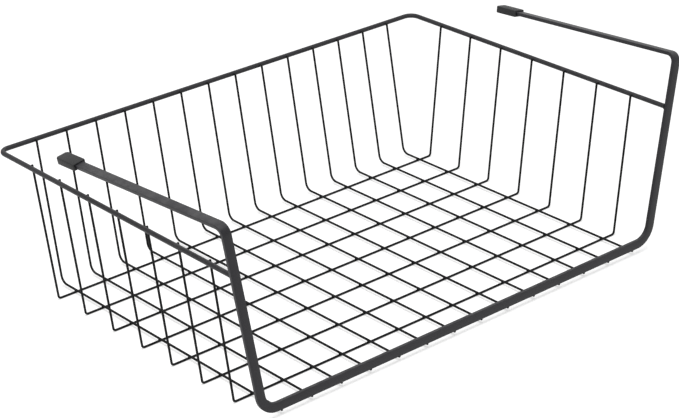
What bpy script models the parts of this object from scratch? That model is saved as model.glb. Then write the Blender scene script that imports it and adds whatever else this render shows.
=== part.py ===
# Wire basket that hangs under a shelf on two flat arms. Metres, +Z up, front towards -Y.
import bpy
import bmesh
import math
from mathutils import Matrix, Vector

COLLECTION_NAME = "under_shelf_basket"
CUTTER_COLLECTION_NAME = "cutters"

# Clearance left between pieces that are welded, fitted or resting together
TOUCH_GAP = 0.0003

# Thin wires of the basket
WIRE_RADIUS = 0.0009
DEPTH_WIRE_COUNT = 14
DEPTH_WIRE_SIDE_MARGIN = 0.0151
DEPTH_WIRE_BEND_RADIUS = 0.0065
DEPTH_WIRE_BACK_RUN = 0.0196
DEPTH_WIRE_FRONT_INSET = 0.0013
CROSS_WIRE_COUNT = 7
CROSS_WIRE_BACK_MARGIN = 0.0168
CROSS_WIRE_BEND_RADIUS = 0.0024
CROSS_WIRE_INSET = 0.0012
WIRE_ABOVE_RIM_CENTRE = 0.0009

# Thick rod round the two sides and the back of the mouth
RIM_RADIUS = 0.0019
RIM_HEIGHT = 0.1140
RIM_BEND_RADIUS = 0.0080
RIM_BACK = 0.2852
RIM_SIDE_TAPER = 0.0014
RIM_END_INSET = 0.0020

# Flat strip that makes the front bar, the two uprights and the two arms
STRIP_WIDTH = 0.0071
STRIP_THICKNESS = 0.0028
STRIP_HALF_FLOOR = 0.1918
STRIP_CORNER_RADIUS = 0.0145
STRIP_TOP_RADIUS = 0.0060
STRIP_LEAN = math.radians(9.7)
ARM_DROOP = math.radians(3.6)
ARM_ABOVE_RIM = 0.0402
ARM_REACH = 0.1835

# Push-on end caps of the arms
CAP_LENGTH = 0.0220
CAP_SIDE_WALL = 0.0014
CAP_FLAT_WALL = 0.0010
CAP_END_WALL = 0.0030
CAP_EDGE_BEVEL = 0.0007

# How finely the bends and the round pieces are drawn
WIRE_BEVEL_RESOLUTION = 2
RIM_BEVEL_RESOLUTION = 4
WIRE_BEND_STEPS = 5
RIM_BEND_STEPS = 6
STRIP_CORNER_STEPS = 8
STRIP_TOP_STEPS = 7
CAP_BEVEL_SEGMENTS = 2
MERGE_DISTANCE = 0.00001

# Half of a whole, and the three directions
HALF_SHARE = 0.5
WORLD_RIGHT = Vector((1.0, 0.0, 0.0))
WORLD_BACK = Vector((0.0, 1.0, 0.0))
WORLD_UP = Vector((0.0, 0.0, 1.0))

# Levels and spacings that follow from the sizes above
CROSS_WIRE_HALF_FLOOR = STRIP_HALF_FLOOR - CROSS_WIRE_INSET
DEPTH_WIRE_HALF_SPREAD = CROSS_WIRE_HALF_FLOOR - DEPTH_WIRE_SIDE_MARGIN
DEPTH_WIRE_SPACING = DEPTH_WIRE_HALF_SPREAD / HALF_SHARE / (DEPTH_WIRE_COUNT - 1)
CROSS_WIRE_LEVEL = WIRE_RADIUS
WIRE_PITCH_ACROSS = WIRE_RADIUS + WIRE_RADIUS + TOUCH_GAP
DEPTH_WIRE_LEVEL = CROSS_WIRE_LEVEL + WIRE_PITCH_ACROSS
STRIP_FLOOR_LEVEL = DEPTH_WIRE_LEVEL + WIRE_RADIUS + TOUCH_GAP
STRIP_LEVEL = STRIP_FLOOR_LEVEL + STRIP_WIDTH * HALF_SHARE
WIRE_TO_RIM = WIRE_RADIUS + RIM_RADIUS + TOUCH_GAP
WIRE_TOP_BACK = RIM_BACK - WIRE_TO_RIM
FLOOR_BACK = WIRE_TOP_BACK - DEPTH_WIRE_BACK_RUN
CROSS_WIRE_SPACING = (FLOOR_BACK - CROSS_WIRE_BACK_MARGIN) / CROSS_WIRE_COUNT
WIRE_TOP_LEVEL = RIM_HEIGHT + WIRE_ABOVE_RIM_CENTRE
ARM_LEVEL = RIM_HEIGHT + ARM_ABOVE_RIM
FRONT_SHIFT = -(RIM_BACK + RIM_RADIUS) * HALF_SHARE


def clear_scene():
    for item in list(bpy.data.objects):
        bpy.data.objects.remove(item, do_unlink=True)


def make_collection(name):
    collection = bpy.data.collections.new(name)
    bpy.context.scene.collection.children.link(collection)
    return collection


def make_material(name, colour, roughness, metallic):
    material = bpy.data.materials.new(name)
    material.use_nodes = True
    shader = material.node_tree.nodes["Principled BSDF"]
    shader.inputs["Base Color"].default_value = (*colour, 1.0)
    shader.inputs["Roughness"].default_value = roughness
    shader.inputs["Metallic"].default_value = metallic
    material.diffuse_color = (*colour, 1.0)
    return material


def bend_points(start, corner, end, radius, steps):
    """Points of the arc that rounds one corner of a bent wire."""
    into = (start - corner).normalized()
    out = (end - corner).normalized()
    half_angle = into.angle(out) * HALF_SHARE
    setback = radius / math.tan(half_angle)
    centre = corner + (into + out).normalized() * (radius / math.sin(half_angle))
    first = corner + into * setback - centre
    last = corner + out * setback - centre
    turn = first.rotation_difference(last)
    points = []
    for step in range(steps + 1):
        part_turn = Matrix.Rotation(turn.angle * step / steps, 3, turn.axis)
        points.append(centre + part_turn @ first)
    return points


def rounded_path(corners, radius, steps):
    """Path through the corners, with every inner corner rounded."""
    points = [corners[0]]
    for before, corner, after in zip(corners, corners[1:], corners[2:]):
        points.extend(bend_points(before, corner, after, radius, steps))
    points.append(corners[-1])
    return points


def make_round_bar(name, points, radius, resolution, material, collection, parent):
    curve = bpy.data.curves.new(name, "CURVE")
    curve.dimensions = "3D"
    curve.bevel_depth = radius
    curve.bevel_resolution = resolution
    curve.use_fill_caps = True
    spline = curve.splines.new("POLY")
    spline.points.add(len(points) - 1)
    for knot, point in zip(spline.points, points):
        knot.co = (*point, 1.0)
    spline.use_smooth = True
    curve.materials.append(material)
    bar = bpy.data.objects.new(name, curve)
    collection.objects.link(bar)
    bar.parent = parent
    return bar


def upright_x(level):
    """Distance of an upright's centre line from the middle, at one height."""
    return STRIP_HALF_FLOOR + (level - STRIP_LEVEL) * math.tan(STRIP_LEAN)


def rim_front_x():
    return upright_x(RIM_HEIGHT) - RIM_END_INSET


def rim_back_x():
    return rim_front_x() - RIM_SIDE_TAPER


def rim_side_x(depth):
    """Distance of the rim's side from the middle, at one depth."""
    return rim_front_x() - RIM_SIDE_TAPER * depth / RIM_BACK


def make_depth_wire(index, material, collection, parent):
    x = index * DEPTH_WIRE_SPACING - DEPTH_WIRE_HALF_SPREAD
    corners = [
        Vector((x, DEPTH_WIRE_FRONT_INSET, DEPTH_WIRE_LEVEL)),
        Vector((x, FLOOR_BACK, DEPTH_WIRE_LEVEL)),
        Vector((x, WIRE_TOP_BACK, WIRE_TOP_LEVEL)),
    ]
    points = rounded_path(corners, DEPTH_WIRE_BEND_RADIUS, WIRE_BEND_STEPS)
    name = f"depth_wire_{index + 1:02d}"
    return make_round_bar(
        name, points, WIRE_RADIUS, WIRE_BEVEL_RESOLUTION, material, collection, parent)


def make_cross_wire(index, material, collection, parent):
    y = CROSS_WIRE_SPACING * (index + 1)
    top_x = rim_side_x(y) - WIRE_TO_RIM
    corners = [
        Vector((-top_x, y, WIRE_TOP_LEVEL)),
        Vector((-CROSS_WIRE_HALF_FLOOR, y, CROSS_WIRE_LEVEL)),
        Vector((CROSS_WIRE_HALF_FLOOR, y, CROSS_WIRE_LEVEL)),
        Vector((top_x, y, WIRE_TOP_LEVEL)),
    ]
    points = rounded_path(corners, CROSS_WIRE_BEND_RADIUS, WIRE_BEND_STEPS)
    name = f"cross_wire_{index + 1}"
    return make_round_bar(
        name, points, WIRE_RADIUS, WIRE_BEVEL_RESOLUTION, material, collection, parent)


def make_rim_rod(material, collection, parent):
    front_y = STRIP_THICKNESS + TOUCH_GAP
    front_x = rim_side_x(front_y)
    corners = [
        Vector((-front_x, front_y, RIM_HEIGHT)),
        Vector((-rim_back_x(), RIM_BACK, RIM_HEIGHT)),
        Vector((rim_back_x(), RIM_BACK, RIM_HEIGHT)),
        Vector((front_x, front_y, RIM_HEIGHT)),
    ]
    points = rounded_path(corners, RIM_BEND_RADIUS, RIM_BEND_STEPS)
    return make_round_bar(
        "rim_rod", points, RIM_RADIUS, RIM_BEVEL_RESOLUTION, material, collection, parent)


def upright_direction():
    return WORLD_RIGHT * math.sin(STRIP_LEAN) + WORLD_UP * math.cos(STRIP_LEAN)


def arm_width_direction():
    """Direction across the arm's broad face, which leans with the upright."""
    return WORLD_RIGHT * math.cos(STRIP_LEAN) - WORLD_UP * math.sin(STRIP_LEAN)


def arm_direction():
    droop = -math.sin(ARM_DROOP)
    return upright_direction() * droop + WORLD_BACK * math.cos(ARM_DROOP)


def push_ring(mesh, ring, offset):
    """Extrude the open end of the strip in a straight line."""
    made = mesh_parts(bmesh.ops.extrude_edge_only(mesh, edges=ring)["geom"])
    bmesh.ops.translate(mesh, verts=made[0], vec=offset)
    return made[1]


def turn_ring(mesh, ring, centre, axis, angle, steps):
    """Bend the open end of the strip round an axis."""
    corners = list({corner for edge in ring for corner in edge.verts})
    made = bmesh.ops.spin(
        mesh, geom=ring + corners, cent=centre, axis=axis, dvec=(0.0, 0.0, 0.0),
        angle=angle, steps=steps, use_duplicate=False)
    return mesh_parts(made["geom_last"])[1]


def mesh_parts(items):
    """New corners, and the edges that run only between them."""
    corners = [item for item in items if isinstance(item, bmesh.types.BMVert)]
    edges = [item for item in items if isinstance(item, bmesh.types.BMEdge)]
    return corners, [edge for edge in edges if all(end in corners for end in edge.verts)]


def strip_start_ring(mesh):
    """Upright rectangle at the middle of the front bar."""
    half = Vector((0.0, STRIP_THICKNESS, STRIP_WIDTH)) * HALF_SHARE
    centre = Vector((0.0, half.y, STRIP_LEVEL))
    corners = []
    for side_y, side_z in ((-1, -1), (1, -1), (1, 1), (-1, 1)):
        corners.append(mesh.verts.new(centre + Vector((0.0, side_y * half.y, side_z * half.z))))
    return [mesh.edges.new((corner, corners[place - 1])) for place, corner in enumerate(corners)]


def strip_layout():
    """Lengths of the straight runs and centres of the two bends, right side."""
    half_thickness = STRIP_THICKNESS * HALF_SHARE
    corner_angle = math.pi * HALF_SHARE - STRIP_LEAN
    corner_setback = STRIP_CORNER_RADIUS * math.tan(corner_angle * HALF_SHARE)
    top_angle = math.pi * HALF_SHARE + ARM_DROOP
    top_setback = STRIP_TOP_RADIUS * math.tan(top_angle * HALF_SHARE)
    corner = Vector((STRIP_HALF_FLOOR, half_thickness, STRIP_LEVEL))
    upright_length = (ARM_LEVEL - STRIP_LEVEL) / math.cos(STRIP_LEAN)
    top = corner + upright_direction() * upright_length
    return {
        "corner_angle": corner_angle,
        "top_angle": top_angle,
        "floor_run": STRIP_HALF_FLOOR - corner_setback,
        "upright_run": upright_length - corner_setback - top_setback,
        "corner_centre": corner - WORLD_RIGHT * corner_setback + WORLD_UP * STRIP_CORNER_RADIUS,
        "top_centre": top - upright_direction() * top_setback + WORLD_BACK * STRIP_TOP_RADIUS,
        "top": top,
        "arm_run": ARM_REACH - top_setback,
    }


def make_hanger_strap(material, collection, parent):
    layout = strip_layout()
    mesh = bmesh.new()
    ring = strip_start_ring(mesh)
    ring = push_ring(mesh, ring, WORLD_RIGHT * layout["floor_run"])
    ring = turn_ring(
        mesh, ring, layout["corner_centre"], -WORLD_BACK, layout["corner_angle"], STRIP_CORNER_STEPS)
    ring = push_ring(mesh, ring, upright_direction() * layout["upright_run"])
    ring = turn_ring(
        mesh, ring, layout["top_centre"], -arm_width_direction(), layout["top_angle"], STRIP_TOP_STEPS)
    ring = push_ring(mesh, ring, arm_direction() * layout["arm_run"])
    bmesh.ops.contextual_create(mesh, geom=ring)
    bmesh.ops.recalc_face_normals(mesh, faces=mesh.faces)
    data = bpy.data.meshes.new("hanger_strap")
    mesh.to_mesh(data)
    mesh.free()
    data.materials.append(material)
    strap = bpy.data.objects.new("hanger_strap", data)
    collection.objects.link(strap)
    strap.parent = parent
    mirror = strap.modifiers.new("other_side", "MIRROR")
    mirror.use_axis = (True, False, False)
    mirror.use_mirror_merge = True
    mirror.merge_threshold = MERGE_DISTANCE
    return strap


def cap_matrix(side):
    """Place of an end cap: X across the arm, Y along it, Z out of its top face."""
    along = arm_direction()
    across = arm_width_direction()
    upward = across.cross(along)
    tip = strip_layout()["top"] + along * ARM_REACH
    centre = tip + along * (TOUCH_GAP + CAP_END_WALL - CAP_LENGTH * HALF_SHARE)
    turned = Matrix((across, along, upward)).transposed()
    if side < 0:
        turned = Matrix((mirrored(across) * -1.0, mirrored(along), mirrored(upward))).transposed()
        centre = mirrored(centre)
    return Matrix.Translation(centre) @ turned.to_4x4()


def mirrored(vector):
    return Vector((-vector.x, vector.y, vector.z))


def make_block(name, size, place, collection):
    mesh = bmesh.new()
    bmesh.ops.create_cube(mesh, size=1.0)
    bmesh.ops.scale(mesh, verts=mesh.verts, vec=size)
    data = bpy.data.meshes.new(name)
    mesh.to_mesh(data)
    mesh.free()
    block = bpy.data.objects.new(name, data)
    collection.objects.link(block)
    block.matrix_world = place
    return block


def make_end_cap(name, side, material, collection, cutters, parent):
    pocket_width = STRIP_WIDTH + TOUCH_GAP + TOUCH_GAP
    pocket_height = STRIP_THICKNESS + TOUCH_GAP + TOUCH_GAP
    size = Vector((
        pocket_width + CAP_SIDE_WALL + CAP_SIDE_WALL,
        CAP_LENGTH,
        pocket_height + CAP_FLAT_WALL + CAP_FLAT_WALL))
    place = cap_matrix(side)
    cap = make_block(name, size, place, collection)
    cap.data.materials.append(material)
    cap.parent = parent
    bevel = cap.modifiers.new("rounded_edges", "BEVEL")
    bevel.width = CAP_EDGE_BEVEL
    bevel.segments = CAP_BEVEL_SEGMENTS
    bevel.limit_method = "ANGLE"
    open_end = Matrix.Translation(Vector((0.0, -CAP_END_WALL, 0.0)))
    pocket = make_block(
        name + "_pocket", Vector((pocket_width, CAP_LENGTH, pocket_height)), place @ open_end, cutters)
    pocket.hide_render = True
    pocket.display_type = "WIRE"
    pocket.parent = parent
    cut = cap.modifiers.new("blind_pocket", "BOOLEAN")
    cut.operation = "DIFFERENCE"
    cut.solver = "EXACT"
    cut.object = pocket
    return cap


def build():
    clear_scene()
    collection = make_collection(COLLECTION_NAME)
    cutters = make_collection(CUTTER_COLLECTION_NAME)
    frame = bpy.data.objects.new("basket_frame", None)
    collection.objects.link(frame)
    strip_coat = make_material("strip_coat", (0.034, 0.035, 0.038), 0.50, 0.0)
    rim_coat = make_material("rim_coat", (0.028, 0.029, 0.031), 0.50, 0.0)
    wire_coat = make_material("wire_coat", (0.010, 0.0105, 0.0115), 0.50, 0.0)
    cap_plastic = make_material("cap_plastic", (0.026, 0.0265, 0.028), 0.45, 0.0)
    for index in range(DEPTH_WIRE_COUNT):
        make_depth_wire(index, wire_coat, collection, frame)
    for index in range(CROSS_WIRE_COUNT):
        make_cross_wire(index, wire_coat, collection, frame)
    make_rim_rod(rim_coat, collection, frame)
    make_hanger_strap(strip_coat, collection, frame)
    make_end_cap("end_cap_left", -1, cap_plastic, collection, cutters, frame)
    make_end_cap("end_cap_right", 1, cap_plastic, collection, cutters, frame)
    frame.location = Vector((0.0, FRONT_SHIFT, 0.0))


build()
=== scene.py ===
# Under shelf wire basket: its looks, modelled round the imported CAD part.
import math

import bmesh
import bpy
from mathutils import Matrix, Vector


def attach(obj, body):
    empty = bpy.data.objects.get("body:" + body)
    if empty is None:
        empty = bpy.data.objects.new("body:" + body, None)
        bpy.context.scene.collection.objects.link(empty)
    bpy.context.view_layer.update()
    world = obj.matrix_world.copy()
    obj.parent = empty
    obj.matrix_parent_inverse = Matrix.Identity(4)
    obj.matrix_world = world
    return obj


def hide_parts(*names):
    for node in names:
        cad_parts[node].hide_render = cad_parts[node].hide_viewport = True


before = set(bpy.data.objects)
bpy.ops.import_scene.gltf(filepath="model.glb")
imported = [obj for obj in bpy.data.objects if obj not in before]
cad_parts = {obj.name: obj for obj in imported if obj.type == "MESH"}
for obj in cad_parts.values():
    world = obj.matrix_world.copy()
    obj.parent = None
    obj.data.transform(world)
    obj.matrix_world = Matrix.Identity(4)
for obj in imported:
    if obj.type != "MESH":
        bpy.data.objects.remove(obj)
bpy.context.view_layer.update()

print("frame loaded:", len(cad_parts), "nodes")

rightWay = Vector((1.0, 0.0, 0.0))
backWay = Vector((0.0, 1.0, 0.0))
upWay = Vector((0.0, 0.0, 1.0))
rightAngle = math.radians(90)
touching = 0.000001              # metres; corners closer than this count as one place
noiseMiddle = 0.5                # a noise swings about this value

# sizes in metres that several pieces share, the same as the CAD
layout = {
    "gap": 0.0003,               # what the CAD leaves between welded pieces; the welds fill it here
    "frontY": -0.14355,          # front face of the strip
    "wireRadius": 0.0009,
    "rimRadius": 0.0019,
    "roundShare": 0.997,         # keeps these rounder rods inside the box of the CAD's faceted ones
    "rimHeight": 0.1140,
    "rimDepth": 0.2852,          # from the front face to the rod's back run
    "rimTaper": 0.0014,          # how much closer the rim's sides are at the back
    "rimEndInset": 0.0020,       # from the middle of the upright's face in to the rod's end
    "stripWidth": 0.0071,
    "stripThickness": 0.0028,
    "stripHalfFloor": 0.1918,
    "stripLean": math.radians(9.7),
    "crossInset": 0.0012,        # how much sooner a cross wire turns up than the strip does
    "wireAboveRim": 0.0009,
}
crossWireZ = layout["wireRadius"]       # the cross wires lie lowest, under the depth wires
depthWireZ = crossWireZ + 2 * layout["wireRadius"] + layout["gap"]
stripZ = depthWireZ + layout["wireRadius"] + layout["gap"] + layout["stripWidth"] / 2
stripY = layout["frontY"] + layout["stripThickness"] / 2
rimBackY = layout["frontY"] + layout["rimDepth"]
crossHalfFloor = layout["stripHalfFloor"] - layout["crossInset"]
wireToRim = layout["wireRadius"] + layout["rimRadius"] + layout["gap"]
wireTopZ = layout["rimHeight"] + layout["wireAboveRim"]
uprightWay = rightWay * math.sin(layout["stripLean"]) + upWay * math.cos(layout["stripLean"])
acrossWay = rightWay * math.cos(layout["stripLean"]) - upWay * math.sin(layout["stripLean"])


# how far out the rim's side runs at a given y
def rimSideX(y):
    lean = (layout["rimHeight"] - stripZ) * math.tan(layout["stripLean"])
    frontX = layout["stripHalfFloor"] + lean - layout["rimEndInset"]
    return frontX - layout["rimTaper"] * (y - layout["frontY"]) / layout["rimDepth"]


# the newest primitive becomes a piece, open in edit mode with all of it selected
def openPiece(name):
    piece = bpy.context.object
    piece.name = name
    piece.data.name = name
    bpy.ops.object.transform_apply(location=True, rotation=True, scale=True)
    bpy.ops.object.mode_set(mode="EDIT")
    bpy.ops.mesh.select_all(action="SELECT")
    return piece


# merges doubles, turns faces outwards and goes back to object mode
def closePiece(piece, smoothAngle=40.0):
    bpy.ops.mesh.select_all(action="SELECT")
    bpy.ops.mesh.remove_doubles(threshold=touching)
    bpy.ops.mesh.normals_make_consistent(inside=False)
    bpy.ops.object.mode_set(mode="OBJECT")
    bpy.ops.object.shade_smooth_by_angle(angle=math.radians(smoothAngle))
    return piece


# adds a round rod's end, facing the way given
def roundStart(name, place, way, radius, sides):
    bpy.ops.object.select_all(action="DESELECT")
    bpy.ops.mesh.primitive_circle_add(
        vertices=sides, radius=radius * layout["roundShare"], fill_type="NGON",
        location=place, rotation=way.to_track_quat("Z", "Y").to_euler())
    return openPiece(name)


# pulls the selected end on in a straight line
def pullOn(way, length):
    bpy.ops.mesh.extrude_region_move(TRANSFORM_OT_translate={"value": way * length})


# bends the selected end; a spin turns against the axis, so the angle is negative
def bendOn(axis, centre, angle, steps):
    bpy.ops.mesh.spin(steps=steps, angle=-angle, center=centre, axis=axis)


# selects only the faces, or the edges, whose list of corners passes the test
def pick(piece, kind, test):
    bpy.ops.mesh.select_all(action="DESELECT")
    bpy.ops.mesh.select_mode(type=kind)
    shape = bmesh.from_edit_mesh(piece.data)
    for item in shape.faces if kind == "FACE" else shape.edges:
        if test([corner.co for corner in item.verts]):
            item.select_set(True)
    bmesh.update_edit_mesh(piece.data)


# rounds off the selected end face
def roundEnd(amount):
    bpy.ops.mesh.bevel(offset=amount, segments=3, affect="EDGES")


# opens the end that lies on the middle plane and mirrors the half across it
def mirrorHalf(piece):
    pick(piece, "FACE", lambda corners: all(abs(corner.x) < touching for corner in corners))
    bpy.ops.mesh.delete(type="ONLY_FACE")
    bpy.ops.object.mode_set(mode="OBJECT")
    mirror = piece.modifiers.new("otherHalf", "MIRROR")
    mirror.use_clip = True
    mirror.merge_threshold = 5 * touching
    bpy.ops.object.modifier_apply(modifier=mirror.name)
    bpy.ops.object.mode_set(mode="EDIT")


# a copy with its own mesh, moved or mirrored in the mesh
def copyPiece(piece, name, change):
    twin = piece.copy()
    twin.data = piece.data.copy()
    twin.name = name
    twin.data.name = name
    bpy.context.scene.collection.objects.link(twin)
    twin.data.transform(change)
    if change.determinant() < 0:
        twin.data.flip_normals()
    return twin


# hands a finished piece to the frame
def handOver(piece, finish, slotName, *nodes):
    piece.data.materials.clear()
    piece.data.materials.append(finish)
    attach(piece, "root")
    if nodes:
        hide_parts(*nodes)


def grey(shade):
    return (shade, shade, shade, 1.0)


# a socket that Python sums can be done with; one without a socket just adds nodes to its tree
class Link:
    def __init__(self, tree, socket=None):
        self.tree = tree
        self.socket = socket

    def node(self, kind, settings=(), sockets=(), out=0):
        made = self.tree.nodes.new(kind)
        for name, value in dict(settings).items():
            if name == "stops":
                for stop, (position, shade) in zip(made.color_ramp.elements, value):
                    stop.position = position
                    stop.color = grey(shade)
            else:
                setattr(made, name, value)
        for name, value in dict(sockets).items():
            if isinstance(value, Link):
                self.tree.links.new(value.socket, made.inputs[name])
            else:
                made.inputs[name].default_value = value
        return Link(self.tree, made.outputs[out] if made.outputs else None)

    def sums(self, operation, first, second):
        return self.node("ShaderNodeMath", {"operation": operation}, {0: first, 1: second})

    def __add__(self, other):
        return self.sums("ADD", self, other)

    def __radd__(self, other):
        return self.sums("ADD", other, self)

    def __sub__(self, other):
        return self.sums("SUBTRACT", self, other)

    def __rsub__(self, other):
        return self.sums("SUBTRACT", other, self)

    def __mul__(self, other):
        return self.sums("MULTIPLY", self, other)

    def __rmul__(self, other):
        return self.sums("MULTIPLY", other, self)

    def higher(self, other):
        return self.sums("MAXIMUM", self, other)

    def cloudy(self, scale, detail):
        return self.node("ShaderNodeTexNoise", {}, {"Vector": self, "Scale": scale, "Detail": detail})

    # black up to low, white from high on
    def ramp(self, low, high):
        return self.node("ShaderNodeValToRGB", {"stops": [(low, 0.0), (high, 1.0)]}, {"Fac": self})

    # the numbers are where a Mix node keeps its factor, its two colours and its colour output
    def blend(self, first, second):
        return self.node("ShaderNodeMix", {"data_type": "RGBA"}, {0: self, 6: first, 7: second}, 2)


def emptyMaterial(name):
    finish = bpy.data.materials.new(name)
    finish.use_nodes = True
    finish.node_tree.nodes.clear()
    return finish, Link(finish.node_tree)


# the shader that both kinds of finish end in
def surface(tree, look, colour, rough, relief):
    bump = tree.node("ShaderNodeBump", {}, {
        "Strength": look["bumpStrength"], "Distance": look["bumpDepth"], "Height": relief})
    skin = tree.node("ShaderNodeBsdfPrincipled", {}, {
        "Base Color": colour, "Roughness": rough, "Normal": bump,
        "Specular IOR Level": look["specular"]})
    tree.node("ShaderNodeOutputMaterial", {}, {"Surface": skin})


# baked powder coat: fine grain on a low orange peel, cloudy in tone, painted lighter in patches on faces
# that point up (partly settled dust, partly painted top light), rubbed on edges
def powderCoat(name, look):
    finish, tree = emptyMaterial(name)
    place = tree.node("ShaderNodeTexCoord", out="Object")
    grain = place.cloudy(look["grainScale"], detail=2.0)
    peel = place.cloudy(look["peelScale"], detail=1.0)
    cloud = place.cloudy(look["cloudScale"], detail=3.0)
    colour = cloud.ramp(*look["cloudRange"]).blend(look["darkColour"], look["lightColour"])
    facing = tree.node("ShaderNodeNewGeometry", out="Normal")
    height = tree.node("ShaderNodeSeparateXYZ", {}, {"Vector": facing}, "Z")
    # faces that point up are painted lighter in patches: partly settled dust, partly painted light from
    # above
    patches = place.cloudy(look["dustAndTopLightScale"], detail=4.0).ramp(*look["dustAndTopLightRange"])
    dustAndTopLight = height.ramp(*look["facingUp"]) * patches
    colour = (dustAndTopLight * look["dustAndTopLightAmount"]).blend(colour, look["dustAndTopLightColour"])
    edge = tree.node("ShaderNodeNewGeometry", out="Pointiness").ramp(*look["edgeRange"])
    rub = edge * place.cloudy(look["rubScale"], detail=3.0).ramp(*look["rubRange"])
    colour = (rub * look["rubAmount"]).blend(colour, look["rubColour"])
    rough = look["roughness"] + (grain - noiseMiddle) * look["grainRough"]
    rough = rough + (cloud - noiseMiddle) * look["cloudRough"] + dustAndTopLight * look["dustAndTopLightRough"]
    relief = peel * look["peelRelief"] + grain * look["grainRelief"]
    surface(tree, look, colour, rough, relief)
    return finish


# moulded soft plastic: spark-eroded grain, faint flow marks
def mouldedPlastic(name, look):
    finish, tree = emptyMaterial(name)
    place = tree.node("ShaderNodeTexCoord", out="Object")
    grain = place.cloudy(look["grainScale"], detail=3.0)
    flow = place.cloudy(look["flowScale"], detail=2.0)
    colour = flow.ramp(*look["flowRange"]).blend(look["darkColour"], look["lightColour"])
    edge = tree.node("ShaderNodeNewGeometry", out="Pointiness").ramp(*look["edgeRange"])
    colour = (edge * look["edgeAmount"]).blend(colour, look["edgeColour"])
    rough = look["roughness"] + (grain - noiseMiddle) * look["grainRough"]
    rough = rough + (flow - noiseMiddle) * look["flowRough"]
    surface(tree, look, colour, rough, grain)
    return finish


# the ranges are where a noise, or the way a face looks, starts to count and where it counts fully
coatLook = {
    "darkColour": (0.0185, 0.0180, 0.0215, 1.0),
    "lightColour": (0.0255, 0.0250, 0.0290, 1.0),
    "cloudScale": 45.0,
    "cloudRange": (0.35, 0.65),
    # the light grey that upward faces are painted towards: settled dust and painted top light
    "dustAndTopLightColour": grey(0.20),
    "dustAndTopLightAmount": 0.26,
    "dustAndTopLightScale": 120.0,
    "dustAndTopLightRange": (0.38, 0.72),
    "facingUp": (0.55, 0.95),
    "rubColour": (0.16, 0.16, 0.165, 1.0),
    "rubAmount": 0.30,
    "rubScale": 210.0,
    "rubRange": (0.54, 0.66),
    "edgeRange": (0.53, 0.62),
    "roughness": 0.46,
    "grainRough": 0.16,
    "cloudRough": 0.12,
    "dustAndTopLightRough": 0.10,
    "specular": 0.26,
    "grainScale": 2600.0,
    "grainRelief": 0.4,
    "peelScale": 620.0,
    "peelRelief": 0.6,
    "bumpStrength": 0.35,
    "bumpDepth": 0.00012,
}
rimLook = dict(
    coatLook, darkColour=(0.0195, 0.0190, 0.0220, 1.0), lightColour=(0.0265, 0.0260, 0.0295, 1.0),
    dustAndTopLightAmount=0.08)
# the wires and their welds wear the same coat as the strip; this copy is painted several times darker,
# as painted shade on the thin wires
shadedWireLook = dict(
    coatLook, darkColour=(0.004, 0.0042, 0.0046, 1.0), lightColour=(0.007, 0.0072, 0.0078, 1.0),
    dustAndTopLightAmount=0.02, rubAmount=0.06, specular=0.12, roughness=0.52)
capLook = {
    "darkColour": (0.012, 0.0122, 0.0130, 1.0),
    "lightColour": (0.018, 0.0182, 0.0192, 1.0),
    "flowScale": 160.0,
    "flowRange": (0.3, 0.7),
    "edgeColour": (0.085, 0.086, 0.089, 1.0),
    "edgeAmount": 0.20,
    "edgeRange": (0.54, 0.66),
    "roughness": 0.55,
    "grainRough": 0.2,
    "flowRough": 0.1,
    "specular": 0.32,
    "grainScale": 3400.0,
    "bumpStrength": 0.30,
    "bumpDepth": 0.00008,
}
stripCoat = powderCoat("stripCoat", coatLook)
rimCoat = powderCoat("rimCoat", rimLook)
# the wires' copy of the coat, painted darker as painted shade
shadedWireCoat = powderCoat("shadedWireCoat", shadedWireLook)
capPlastic = mouldedPlastic("capPlastic", capLook)
print("finishes made")

# flat strip: front bar, leaning uprights and the two arms, in one length
strip = {
    "edgeRound": 0.00030,
    "edgeSegments": 4,
    "cornerRadius": 0.0145,      # bent the hard way at the floor
    "cornerSteps": 20,
    "topRadius": 0.0060,         # bent the easy way at the top
    "topSteps": 16,
    "armDroop": math.radians(3.6),
    "armAboveRim": 0.0402,
    "armReach": 0.1835,
    "endRound": 0.00040,
}
armZ = layout["rimHeight"] + strip["armAboveRim"]
armWay = backWay * math.cos(strip["armDroop"]) - uprightWay * math.sin(strip["armDroop"])
armFaceWay = acrossWay.cross(armWay)
uprightLength = (armZ - stripZ) / math.cos(layout["stripLean"])
stripCorner = Vector((layout["stripHalfFloor"], stripY, stripZ))
stripTop = stripCorner + uprightWay * uprightLength
armTip = stripTop + armWay * strip["armReach"]

bpy.ops.object.select_all(action="DESELECT")
bpy.ops.mesh.primitive_plane_add(
    size=1.0, location=(0.0, stripY, stripZ), rotation=(0.0, rightAngle, 0.0))
bpy.context.object.scale = (layout["stripWidth"], layout["stripThickness"], 1.0)
hangerStrap = openPiece("hangerStrap")
bpy.ops.mesh.bevel(offset=strip["edgeRound"], segments=strip["edgeSegments"], affect="VERTICES")
bpy.ops.mesh.select_all(action="SELECT")
floorTurn = rightAngle - layout["stripLean"]
floorTangent = strip["cornerRadius"] * math.tan(floorTurn / 2)
bendStart = stripCorner - rightWay * floorTangent
pullOn(rightWay, bendStart.x)
bendOn(-backWay, bendStart + upWay * strip["cornerRadius"], floorTurn, strip["cornerSteps"])
topTurn = rightAngle + strip["armDroop"]
topTangent = strip["topRadius"] * math.tan(topTurn / 2)
pullOn(uprightWay, uprightLength - floorTangent - topTangent)
bendStart = stripTop - uprightWay * topTangent
bendOn(-acrossWay, bendStart + backWay * strip["topRadius"], topTurn, strip["topSteps"])
pullOn(armWay, strip["armReach"] - topTangent)
roundEnd(strip["endRound"])
mirrorHalf(hangerStrap)
closePiece(hangerStrap)
handOver(hangerStrap, stripCoat, "strip_coat", "hanger_strap")
print("strip bent:", len(hangerStrap.data.polygons), "faces")

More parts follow.
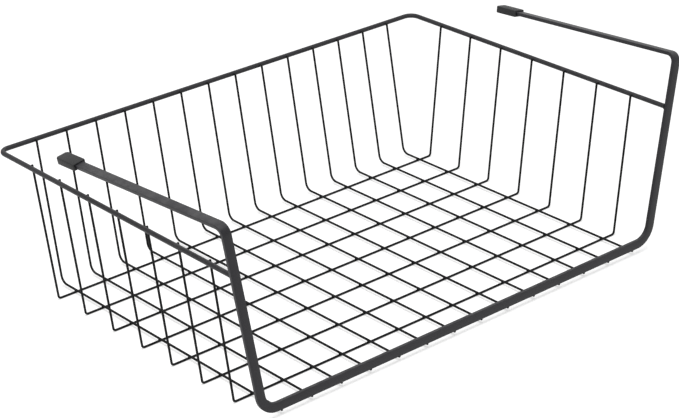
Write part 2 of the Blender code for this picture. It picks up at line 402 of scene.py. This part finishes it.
# rim rod: round three sides of the top, its two ends welded to the uprights
rim = {
    "sides": 28,
    "bendRadius": 0.0080,
    "bendSteps": 16,
}
rimBackX = rimSideX(rimBackY)
rimEndY = layout["frontY"] + layout["stripThickness"] + layout["gap"]
rimBack = Vector((rimBackX, rimBackY, layout["rimHeight"]))
rimEnd = Vector((rimSideX(rimEndY), rimEndY, layout["rimHeight"]))
sideWay = (rimEnd - rimBack).normalized()
rimTurn = rightWay.angle(sideWay)
rimTangent = rim["bendRadius"] * math.tan(rimTurn / 2)
rimMiddle = (0.0, rimBackY, layout["rimHeight"])
rimRod = roundStart("rimRod", rimMiddle, rightWay, layout["rimRadius"], rim["sides"])
pullOn(rightWay, rimBackX - rimTangent)
bendStart = rimBack - rightWay * rimTangent
bendOn(-upWay, bendStart - backWay * rim["bendRadius"], rimTurn, rim["bendSteps"])
pullOn(sideWay, (rimEnd - rimBack).length - rimTangent)
mirrorHalf(rimRod)
closePiece(rimRod)
handOver(rimRod, rimCoat, "rim_coat", "rim_rod")
print("rim bent:", len(rimRod.data.polygons), "faces")

# wires that run from the front bar along the floor and up the back
depthWire = {
    "count": 14,
    "sideMargin": 0.0151,        # from the turn of a cross wire to the first depth wire
    "sides": 16,
    "bendRadius": 0.0065,
    "bendSteps": 12,
    "backRun": 0.0196,           # how far the back leans out from floor to rim
    "frontInset": 0.0013,        # the wires stop under the front bar
    "endRound": 0.00040,
}
depthHalfSpread = crossHalfFloor - depthWire["sideMargin"]
depthSpacing = 2 * depthHalfSpread / (depthWire["count"] - 1)
wireTopY = rimBackY - wireToRim
floorBackY = wireTopY - depthWire["backRun"]
floorBack = Vector((0.0, floorBackY, depthWireZ))
backTop = Vector((0.0, wireTopY, wireTopZ))
riseWay = (backTop - floorBack).normalized()
wireTurn = backWay.angle(riseWay)
wireTangent = depthWire["bendRadius"] * math.tan(wireTurn / 2)
wireFrontY = layout["frontY"] + depthWire["frontInset"]
wireFront = (0.0, wireFrontY, depthWireZ)
patternWire = roundStart("depthWire", wireFront, backWay, layout["wireRadius"], depthWire["sides"])
pullOn(backWay, floorBackY - wireTangent - wireFrontY)
bendStart = floorBack - backWay * wireTangent
bendOn(rightWay, bendStart + upWay * depthWire["bendRadius"], wireTurn, depthWire["bendSteps"])
pullOn(riseWay, (backTop - floorBack).length - wireTangent)
roundEnd(depthWire["endRound"])
pick(patternWire, "FACE", lambda corners: all(corner.y < wireFrontY + touching for corner in corners))
roundEnd(depthWire["endRound"])
closePiece(patternWire)
depthXs = [depthSpacing * i - depthHalfSpread for i in range(depthWire["count"])]
for number, x in enumerate(depthXs, 1):
    wire = copyPiece(patternWire, f"depthWire{number:02d}", Matrix.Translation((x, 0.0, 0.0)))
    handOver(wire, shadedWireCoat, "wire_coat", f"depth_wire_{number:02d}")
bpy.data.objects.remove(patternWire)
print("depth wires bent:", len(depthXs))

# wires that run across the floor and up both sides; each is a little narrower than the one before
crossWire = {
    "count": 7,
    "sides": 16,
    "bendRadius": 0.0024,
    "bendSteps": 8,
    "backMargin": 0.0168,        # from the last one to where the back begins
    "endRound": 0.00040,
}
crossSpacing = (floorBackY - crossWire["backMargin"] - layout["frontY"]) / crossWire["count"]
crossYs = [layout["frontY"] + crossSpacing * (i + 1) for i in range(crossWire["count"])]
for number, y in enumerate(crossYs, 1):
    floorMiddle = (0.0, y, crossWireZ)
    floorEnd = Vector((crossHalfFloor, y, crossWireZ))
    sideTop = Vector((rimSideX(y) - wireToRim, y, wireTopZ))
    climbWay = (sideTop - floorEnd).normalized()
    climbTurn = rightWay.angle(climbWay)
    climbTangent = crossWire["bendRadius"] * math.tan(climbTurn / 2)
    wire = roundStart(
        f"crossWire{number}", floorMiddle, rightWay, layout["wireRadius"], crossWire["sides"])
    pullOn(rightWay, crossHalfFloor - climbTangent)
    bendStart = floorEnd - rightWay * climbTangent
    bendOn(-backWay, bendStart + upWay * crossWire["bendRadius"], climbTurn, crossWire["bendSteps"])
    pullOn(climbWay, (sideTop - floorEnd).length - climbTangent)
    roundEnd(crossWire["endRound"])
    mirrorHalf(wire)
    closePiece(wire)
    handOver(wire, shadedWireCoat, "wire_coat", f"cross_wire_{number}")
print("cross wires bent:", len(crossYs))

# push-on caps at the ends of the arms: a pocket for the strip and a chamfered nose
cap = {
    "length": 0.0220,
    "sideWall": 0.0014,
    "flatWall": 0.0010,
    "endWall": 0.0030,
    "noseChamfer": 0.0016,
    "edgeRound": 0.00070,
    "edgeSegments": 3,
    "smoothAngle": 30.0,
}
pocketWidth = layout["stripWidth"] + 2 * layout["gap"]
capWidth = pocketWidth + 2 * cap["sideWall"]
capThickness = layout["stripThickness"] + 2 * layout["gap"] + 2 * cap["flatWall"]
mouthY = -cap["length"] / 2


# an upright edge at the nose end
def noseEdge(ends):
    return min(end.y for end in ends) > 0 and abs(ends[0].x - ends[1].x) < touching


bpy.ops.object.select_all(action="DESELECT")
bpy.ops.mesh.primitive_cube_add(size=1.0)
bpy.context.object.scale = (capWidth, cap["length"], capThickness)
capRight = openPiece("capRight")
pick(capRight, "EDGE", noseEdge)
bpy.ops.mesh.bevel(offset=cap["noseChamfer"], segments=1, affect="EDGES")
bpy.ops.mesh.select_all(action="SELECT")
bpy.ops.mesh.bevel(offset=cap["edgeRound"], segments=cap["edgeSegments"], affect="EDGES")
pick(capRight, "FACE", lambda corners: all(corner.y < mouthY + touching for corner in corners))
bpy.ops.mesh.inset(thickness=cap["flatWall"] - cap["edgeRound"])
insetWidth = capWidth - 2 * cap["flatWall"]
bpy.ops.transform.resize(value=(pocketWidth / insetWidth, 1.0, 1.0))
pullOn(backWay, cap["length"] - cap["endWall"])
closePiece(capRight, cap["smoothAngle"])
capCentre = armTip + armWay * (layout["gap"] + cap["endWall"] - cap["length"] / 2)
turned = Matrix((acrossWay, armWay, armFaceWay)).transposed().to_4x4()
capRight.data.transform(Matrix.Translation(capCentre) @ turned)
capLeft = copyPiece(capRight, "capLeft", Matrix.Scale(-1, 4, rightWay))
handOver(capRight, capPlastic, "cap_plastic", "end_cap_right")
handOver(capLeft, capPlastic, "cap_plastic", "end_cap_left")
print("caps made")

# resistance welds: small flattened beads where two pieces meet, and collars where the rim ends
weld = {
    "segments": 8,
    "rings": 5,
    "smoothAngle": 60.0,
    "floorSize": (0.00090, 0.00090, 0.00060),      # half of a bead along X, Y and Z
    "barSize": (0.00090, 0.00065, 0.00055),
    "rimSize": (0.00065, 0.00045, 0.00100),
    "collarSides": 20,
    "collarRadius": 0.0025,
    "collarLength": 0.0012,
    # share of the length, then what is left of the width there
    "collarSteps": ((0.35, 0.94), (0.65, 0.78)),
}


# copies one bead to every place and joins the copies into one piece
def beadRow(name, size, places):
    bpy.ops.object.select_all(action="DESELECT")
    bpy.ops.mesh.primitive_uv_sphere_add(segments=weld["segments"], ring_count=weld["rings"], radius=1.0)
    bpy.context.object.scale = size
    bead = openPiece(name)
    closePiece(bead, weld["smoothAngle"])
    copies = [copyPiece(bead, name + "Bead", change) for change in places]
    bpy.data.objects.remove(bead)
    bpy.ops.object.select_all(action="DESELECT")
    for twin in copies:
        twin.select_set(True)
    bpy.context.view_layer.objects.active = copies[0]
    bpy.ops.object.join()
    copies[0].name = name
    copies[0].data.name = name
    return copies[0]


floorWeldZ = (depthWireZ + crossWireZ) / 2
floorWelds = beadRow("floorWelds", weld["floorSize"], [
    Matrix.Translation((x, y, floorWeldZ)) for x in depthXs for y in crossYs])
handOver(floorWelds, shadedWireCoat, "wire_coat")
barWeldY = layout["frontY"] + (depthWire["frontInset"] + layout["stripThickness"]) / 2
barWeldZ = depthWireZ + layout["wireRadius"] + layout["gap"] / 2
barWelds = beadRow("barWelds", weld["barSize"], [
    Matrix.Translation((x, barWeldY, barWeldZ)) for x in depthXs])
handOver(barWelds, shadedWireCoat, "wire_coat")
rimWeldInset = layout["rimRadius"] + layout["gap"] / 2
backWelds = beadRow("backWelds", weld["rimSize"], [
    Matrix.Translation((x, rimBackY - rimWeldInset, layout["rimHeight"])) for x in depthXs])
handOver(backWelds, shadedWireCoat, "wire_coat")
quarterTurn = Matrix.Rotation(rightAngle, 4, "Z")
sideWelds = beadRow("sideWelds", weld["rimSize"], [
    Matrix.Translation((side * (rimSideX(y) - rimWeldInset), y, layout["rimHeight"])) @ quarterTurn
    for y in crossYs for side in (-1, 1)])
handOver(sideWelds, shadedWireCoat, "wire_coat")

collarStart = rimEnd + sideWay * layout["gap"] / 2
collarRight = roundStart(
    "rimWeldRight", collarStart, -sideWay, weld["collarRadius"], weld["collarSides"])
for share, width in weld["collarSteps"]:
    pullOn(-sideWay, weld["collarLength"] * share)
    bpy.ops.transform.resize(value=(width, 1.0, width))
closePiece(collarRight, weld["smoothAngle"])
collarLeft = copyPiece(collarRight, "rimWeldLeft", Matrix.Scale(-1, 4, rightWay))
handOver(collarRight, rimCoat, "rim_coat")
handOver(collarLeft, rimCoat, "rim_coat")
print("welds laid")


# 1 for what is seen straight, mirrored or through a thing, 0 for the light that falls on things
def seenBy(tree):
    rays = ("Is Camera Ray", "Is Glossy Ray", "Is Transmission Ray")
    straight, mirrored, through = [tree.node("ShaderNodeLightPath", out=ray) for ray in rays]
    return straight.higher(mirrored).higher(through)


# white ground that keeps the basket's shadow
ground = {
    "size": 40.0,
    "level": -0.00002,           # just under the wires, so that no two faces lie in one plane
    "colour": grey(0.86),
    "roughness": 0.9,
    # the glow lifts only what the camera and reflections see of it to white
    "nearGlow": grey(0.46),
    "farGlow": grey(0.76),
    "noGlow": grey(0.0),
    "glowFrom": 0.5,             # metres from the basket's middle
    "glowTo": 2.2,
    "glowReach": 4.0,            # the distance that the ramp's whole length stands for
}
bpy.ops.object.select_all(action="DESELECT")
bpy.ops.mesh.primitive_plane_add(size=ground["size"], location=(0.0, 0.0, ground["level"]))
floor = openPiece("floor")
bpy.ops.object.mode_set(mode="OBJECT")
floorPaint, tree = emptyMaterial("floorPaint")
place = tree.node("ShaderNodeTexCoord", out="Object")
away = tree.node("ShaderNodeVectorMath", {"operation": "LENGTH"}, {0: place}, "Value")
far = (away * (1 / ground["glowReach"])).ramp(
    ground["glowFrom"] / ground["glowReach"], ground["glowTo"] / ground["glowReach"])
glow = seenBy(tree).blend(ground["noGlow"], far.blend(ground["nearGlow"], ground["farGlow"]))
paint = tree.node("ShaderNodeBsdfPrincipled", {}, {
    "Base Color": ground["colour"], "Roughness": ground["roughness"], "Specular IOR Level": 0.0,
    "Emission Color": glow, "Emission Strength": 1.0})
tree.node("ShaderNodeOutputMaterial", {}, {"Surface": paint})
floor.data.materials.append(floorPaint)

# soft studio light: a dim sky that still looks white, and two round lamps
studio = {
    "skyColour": grey(1.0),
    "skyLight": 0.32,
    "topPower": 21.0,
    "topSize": 1.6,
    "topPlace": (-0.25, -0.15, 1.75),
    "sidePower": 3.0,
    "sideSize": 0.9,
    "sidePlace": (-1.5, -0.7, 0.9),
    "aim": (0.0, 0.0, 0.05),
}
world = bpy.data.worlds.new("studio")
bpy.context.scene.world = world
world.use_nodes = True
world.node_tree.nodes.clear()
tree = Link(world.node_tree)
level = seenBy(tree) * (1.0 - studio["skyLight"]) + studio["skyLight"]
sky = tree.node("ShaderNodeBackground", {}, {"Color": studio["skyColour"], "Strength": level})
tree.node("ShaderNodeOutputWorld", {}, {"Surface": sky})


def softLamp(name, place, size, power):
    lamp = bpy.data.lights.new(name, "AREA")
    lamp.shape = "DISK"
    lamp.size = size
    lamp.energy = power
    holder = bpy.data.objects.new(name, lamp)
    holder.location = place
    holder.rotation_euler = (Vector(studio["aim"]) - Vector(place)).to_track_quat("-Z", "Y").to_euler()
    bpy.context.scene.collection.objects.link(holder)


softLamp("topLamp", studio["topPlace"], studio["topSize"], studio["topPower"])
softLamp("sideLamp", studio["sidePlace"], studio["sideSize"], studio["sidePower"])

# camera as worked out from the photo
view = {
    "place": (-0.987223, -1.160403, 0.767530),
    "turn": (64.7049, 1.2591, -41.0096),        # degrees about X, Y and Z
    "lens": 117.56,
    "sensorWidth": 36.0,
    "nearClip": 0.05,
}
cameraData = bpy.data.cameras.new("camera")
cameraData.sensor_fit = "HORIZONTAL"
cameraData.sensor_width = view["sensorWidth"]
cameraData.lens = view["lens"]
cameraData.clip_start = view["nearClip"]
camera = bpy.data.objects.new("camera", cameraData)
camera.location = view["place"]
camera.rotation_euler = [math.radians(angle) for angle in view["turn"]]
bpy.context.scene.collection.objects.link(camera)
bpy.context.scene.camera = camera
bpy.context.scene.view_settings.view_transform = "Standard"
print("ground, light and camera set")
